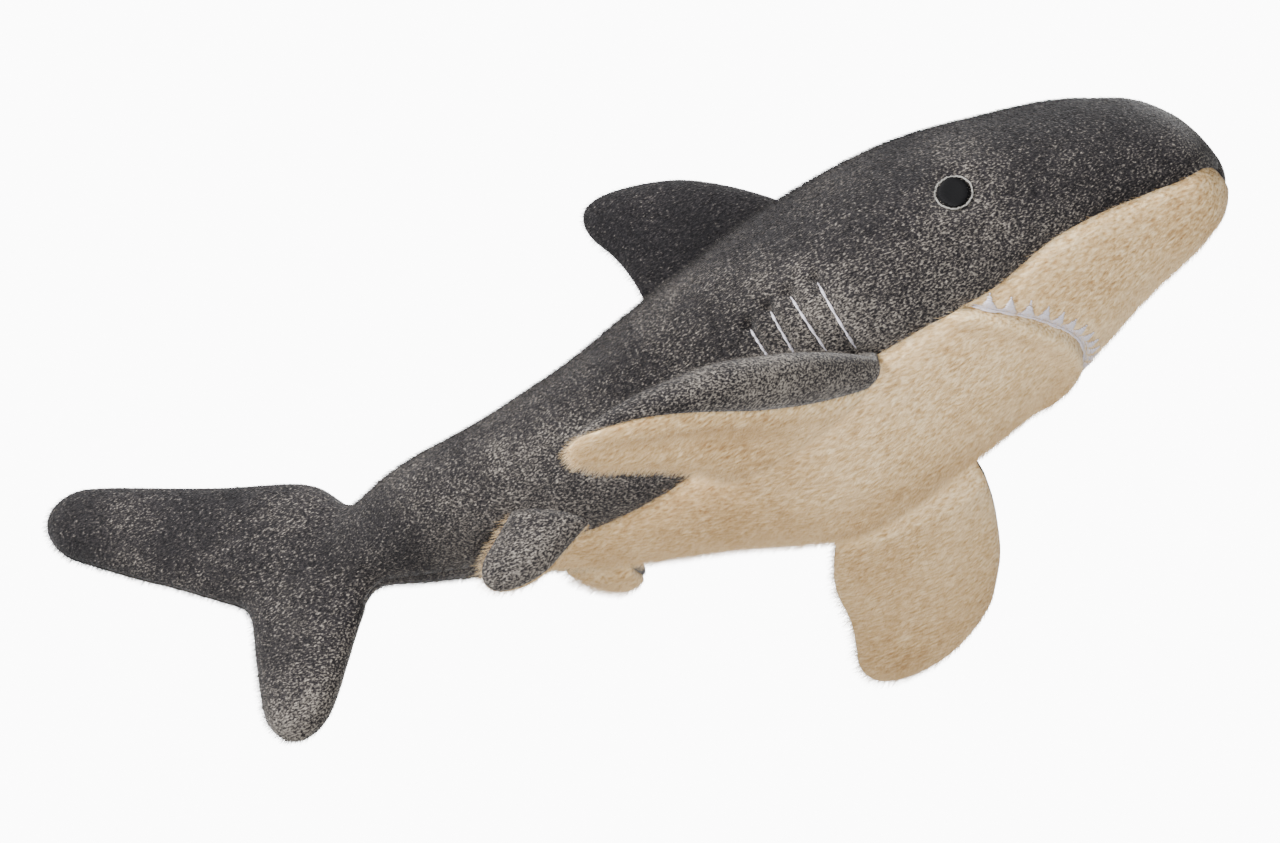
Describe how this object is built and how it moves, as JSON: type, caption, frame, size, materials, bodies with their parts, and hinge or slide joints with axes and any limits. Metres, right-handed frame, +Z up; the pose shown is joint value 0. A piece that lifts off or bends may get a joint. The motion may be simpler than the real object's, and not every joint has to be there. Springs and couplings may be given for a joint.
{
  "type": "plush shark",
  "caption": "Sewn and stuffed plush shark with charcoal sides, a cream underside, embroidered eyes, gills and teeth, and soft fins and tail that flex.",
  "frame": {"origin": "on the floor, in the middle of the flat face of the belly that the shark rests on", "axes": "+X towards the nose, +Y to the shark's left, +Z up"},
  "size_m": [0.4002, 0.2324, 0.1417],
  "materials": {
    "charcoal_plush": "short dense pile",
    "cream_plush": "soft pile, a little longer",
    "polyester_stuffing": "loose fibre",
    "black_thread": "matt embroidery",
    "grey_thread": "matt embroidery",
    "silver_thread": "slightly glossy embroidery"
  },
  "bodies": {
    "body": {"side_panel_left": "charcoal_plush", "side_panel_right": "charcoal_plush", "snout_panel": "cream_plush", "belly_panel": "cream_plush", "body_stuffing": "polyester_stuffing", "teeth_stitching": "silver_thread", "eye_left": "black_thread", "eye_right": "black_thread", "eye_ring_left": "grey_thread", "eye_ring_right": "grey_thread", "gill_stitches_left": "silver_thread", "gill_stitches_right": "silver_thread"},
    "tail": {"tail_panel_left": "charcoal_plush", "tail_panel_right": "charcoal_plush", "tail_stuffing": "polyester_stuffing"},
    "pectoral_fin_left": {"pectoral_top_left": "charcoal_plush", "pectoral_underside_left": "cream_plush", "pectoral_stuffing_left": "polyester_stuffing"},
    "pectoral_fin_right": {"pectoral_top_right": "charcoal_plush", "pectoral_underside_right": "cream_plush", "pectoral_stuffing_right": "polyester_stuffing"},
    "pelvic_fin_left": {"pelvic_top_left": "charcoal_plush", "pelvic_underside_left": "cream_plush", "pelvic_stuffing_left": "polyester_stuffing"},
    "pelvic_fin_right": {"pelvic_top_right": "charcoal_plush", "pelvic_underside_right": "cream_plush", "pelvic_stuffing_right": "polyester_stuffing"},
    "dorsal_fin": {"dorsal_panel_left": "charcoal_plush", "dorsal_panel_right": "charcoal_plush", "dorsal_stuffing": "polyester_stuffing"}
  },
  "joints": [
    {"name": "tail_sway", "type": "hinge", "parent": "body", "child": "tail", "pos_m": [-0.1182, 0, 0.0556], "axis": [0, 0, 1], "range_deg": [-24, 24], "stiffness_Nm_per_rad": 0.4},
    {"name": "pectoral_flap_left", "type": "hinge", "parent": "body", "child": "pectoral_fin_left", "pos_m": [0.0023, 0.0405, 0.0141], "axis": [0.9722, 0.1813, 0.1483], "range_deg": [-22, 35], "stiffness_Nm_per_rad": 0.25},
    {"name": "pectoral_flap_right", "type": "hinge", "parent": "body", "child": "pectoral_fin_right", "pos_m": [0.0023, -0.0405, 0.0141], "axis": [-0.9722, 0.1813, -0.1483], "range_deg": [-22, 35], "stiffness_Nm_per_rad": 0.25},
    {"name": "pelvic_flap_left", "type": "hinge", "parent": "body", "child": "pelvic_fin_left", "pos_m": [-0.08745, 0.02275, 0.02585], "axis": [0.8669, -0.23, -0.4423], "range_deg": [-30, 5], "stiffness_Nm_per_rad": 0.08},
    {"name": "pelvic_flap_right", "type": "hinge", "parent": "body", "child": "pelvic_fin_right", "pos_m": [-0.08745, -0.02275, 0.02585], "axis": [-0.8669, -0.23, 0.4423], "range_deg": [-15, 20], "stiffness_Nm_per_rad": 0.08},
    {"name": "dorsal_lean", "type": "hinge", "parent": "body", "child": "dorsal_fin", "pos_m": [-0.01645, 0, 0.10115], "axis": [0.9751, 0, 0.2217], "range_deg": [-25, 25], "stiffness_Nm_per_rad": 0.1}
  ]
}
